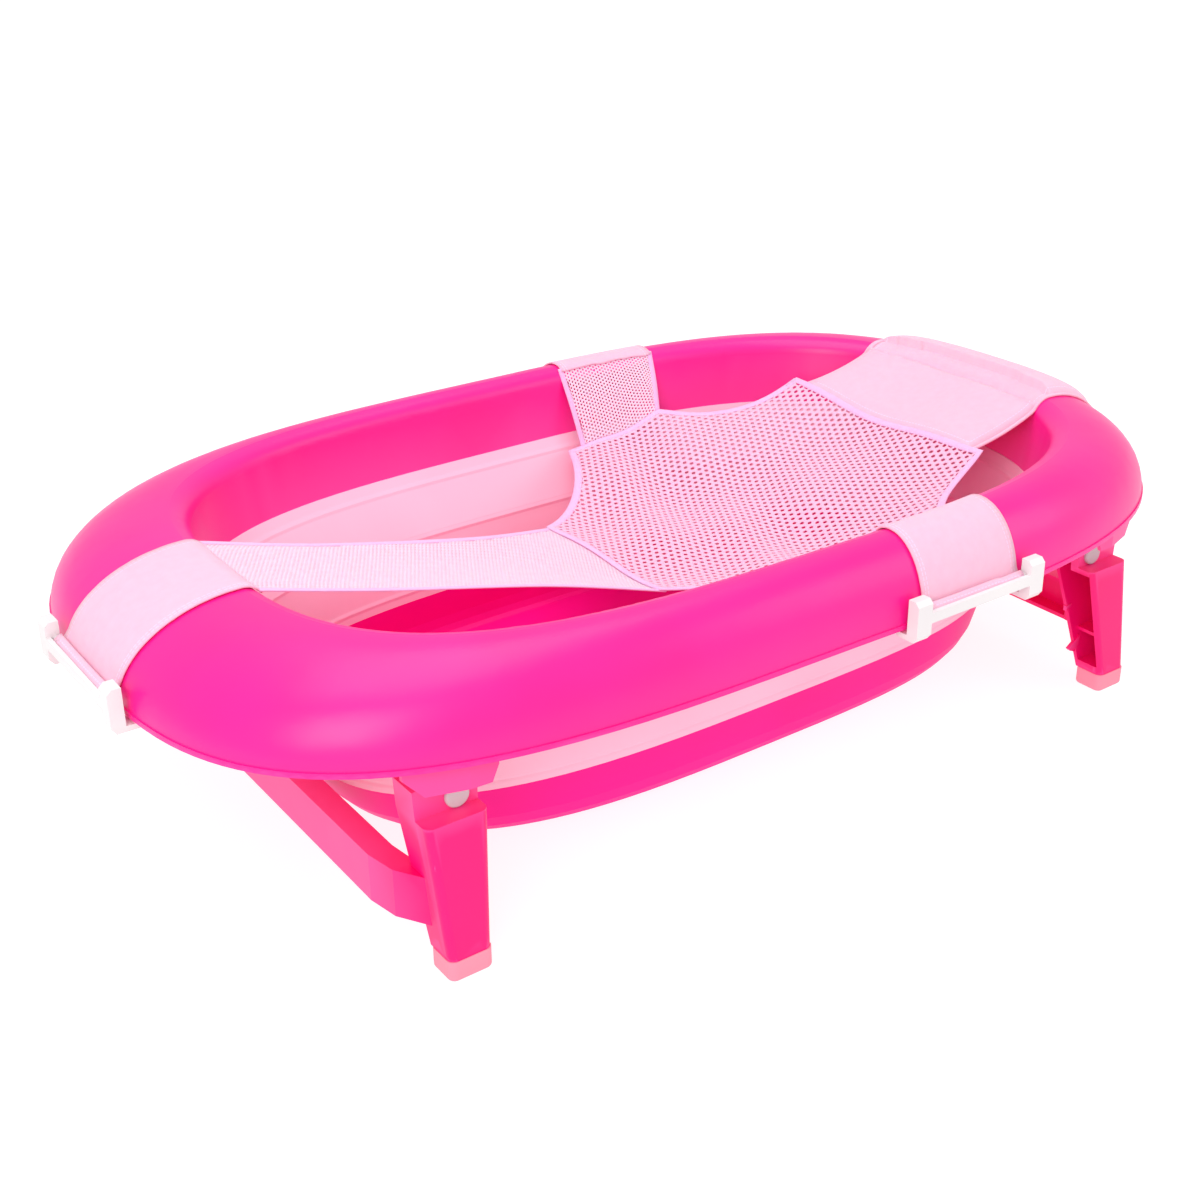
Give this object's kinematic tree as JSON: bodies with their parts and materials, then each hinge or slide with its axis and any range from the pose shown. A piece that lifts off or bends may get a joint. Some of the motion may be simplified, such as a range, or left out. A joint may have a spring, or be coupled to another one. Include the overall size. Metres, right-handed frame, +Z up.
{
  "type": "baby bathtub",
  "caption": "Collapsible baby bathtub: rigid rim and basin joined by a soft folding band, fold-in leg frames, drain stopper and a mesh support net held by hook clips.",
  "frame": {"origin": "on the floor under the middle of the rim", "axes": "+X along the tub towards the head end with the padded panel, +Y across it, +Z up"},
  "size_m": [0.842, 0.5081, 0.1968],
  "materials": {
    "rim_shell": "satin moulded polypropylene",
    "basin_shell": "satin moulded polypropylene",
    "leg_plastic": "satin moulded polypropylene",
    "soft_band": "matte thermoplastic elastomer",
    "foot_rubber": "matte thermoplastic elastomer",
    "clip_plastic": "white satin",
    "cap_plastic": "light grey satin",
    "steel": "plain",
    "plug_rubber": "matte",
    "strap_fabric": "woven polyester",
    "panel_fabric": "padded polyester",
    "mesh_fabric": "open polyester mesh"
  },
  "bodies": {
    "tub_rim": {"rim": "rim_shell", "fold_band": "soft_band", "bracket_screws": "steel", "net_mesh": "mesh_fabric", "foot_strap_mesh": "mesh_fabric", "near_strap_mesh": "mesh_fabric", "far_strap_mesh": "mesh_fabric", "head_panel": "panel_fabric", "near_strap_end": "strap_fabric", "far_strap_end": "strap_fabric", "foot_strap_end": "strap_fabric", "hinge_bracket_head_far": "leg_plastic", "hinge_bracket_head_near": "leg_plastic", "hinge_bracket_foot_far": "leg_plastic", "hinge_bracket_foot_near": "leg_plastic"},
    "tub_base": {"base_basin": "basin_shell"},
    "stopper": {"drain_plug": "plug_rubber"},
    "head_legs": {"leg_frame_head": "leg_plastic", "foot_cap_head_far": "foot_rubber", "foot_cap_head_near": "foot_rubber", "hinge_pin_head_far": "steel", "hinge_pin_head_near": "steel", "pivot_cap_head_far": "cap_plastic", "pivot_cap_head_near": "cap_plastic"},
    "foot_legs": {"leg_frame_foot": "leg_plastic", "foot_cap_foot_far": "foot_rubber", "foot_cap_foot_near": "foot_rubber", "hinge_pin_foot_far": "steel", "hinge_pin_foot_near": "steel", "pivot_cap_foot_far": "cap_plastic", "pivot_cap_foot_near": "cap_plastic"},
    "near_buckle": {"near_clip": "clip_plastic", "near_strap_loop": "strap_fabric"},
    "far_buckle": {"far_clip": "clip_plastic", "far_strap_loop": "strap_fabric"},
    "head_buckle": {"head_clip": "clip_plastic", "head_strap_loop": "strap_fabric"},
    "foot_buckle": {"foot_clip": "clip_plastic", "foot_strap_loop": "strap_fabric"}
  },
  "joints": [
    {"name": "base_collapse", "type": "slide", "parent": "tub_rim", "child": "tub_base", "axis": [0, 0, 1], "range_m": [0, 0.125], "deforming": ["fold_band", "net_mesh", "foot_strap_mesh", "near_strap_mesh", "far_strap_mesh", "head_panel"]},
    {"name": "leg_fold_head", "type": "hinge", "parent": "tub_rim", "child": "head_legs", "pos_m": [0.276, 0, 0.106], "axis": [0, 1, 0], "range_deg": [0, 90]},
    {"name": "leg_fold_foot", "type": "hinge", "parent": "tub_rim", "child": "foot_legs", "pos_m": [-0.276, 0, 0.106], "axis": [0, -1, 0], "range_deg": [0, 90]},
    {"name": "stopper_lift", "type": "slide", "parent": "tub_base", "child": "stopper", "axis": [0, 0, 1], "range_m": [0, 0.02]},
    {"name": "near_buckle_swing", "type": "hinge", "parent": "tub_rim", "child": "near_buckle", "pos_m": [0.086, -0.24197, 0.1616], "axis": [-1, 0, 0], "range_deg": [0, 50]},
    {"name": "far_buckle_swing", "type": "hinge", "parent": "tub_rim", "child": "far_buckle", "pos_m": [0.11, 0.24172, 0.1616], "axis": [1, 0, 0], "range_deg": [0, 50]},
    {"name": "head_buckle_swing", "type": "hinge", "parent": "tub_rim", "child": "head_buckle", "pos_m": [0.4057, 0, 0.1616], "axis": [0, -1, 0], "range_deg": [0, 50]},
    {"name": "foot_buckle_swing", "type": "hinge", "parent": "tub_rim", "child": "foot_buckle", "pos_m": [-0.40432, 0, 0.1616], "axis": [0, 1, 0], "range_deg": [0, 50]}
  ],
  "couplings": [
    {"joint": "leg_fold_head", "follows": "base_collapse", "rad_per_m": 12.56},
    {"joint": "leg_fold_foot", "follows": "base_collapse", "rad_per_m": 12.56}
  ]
}
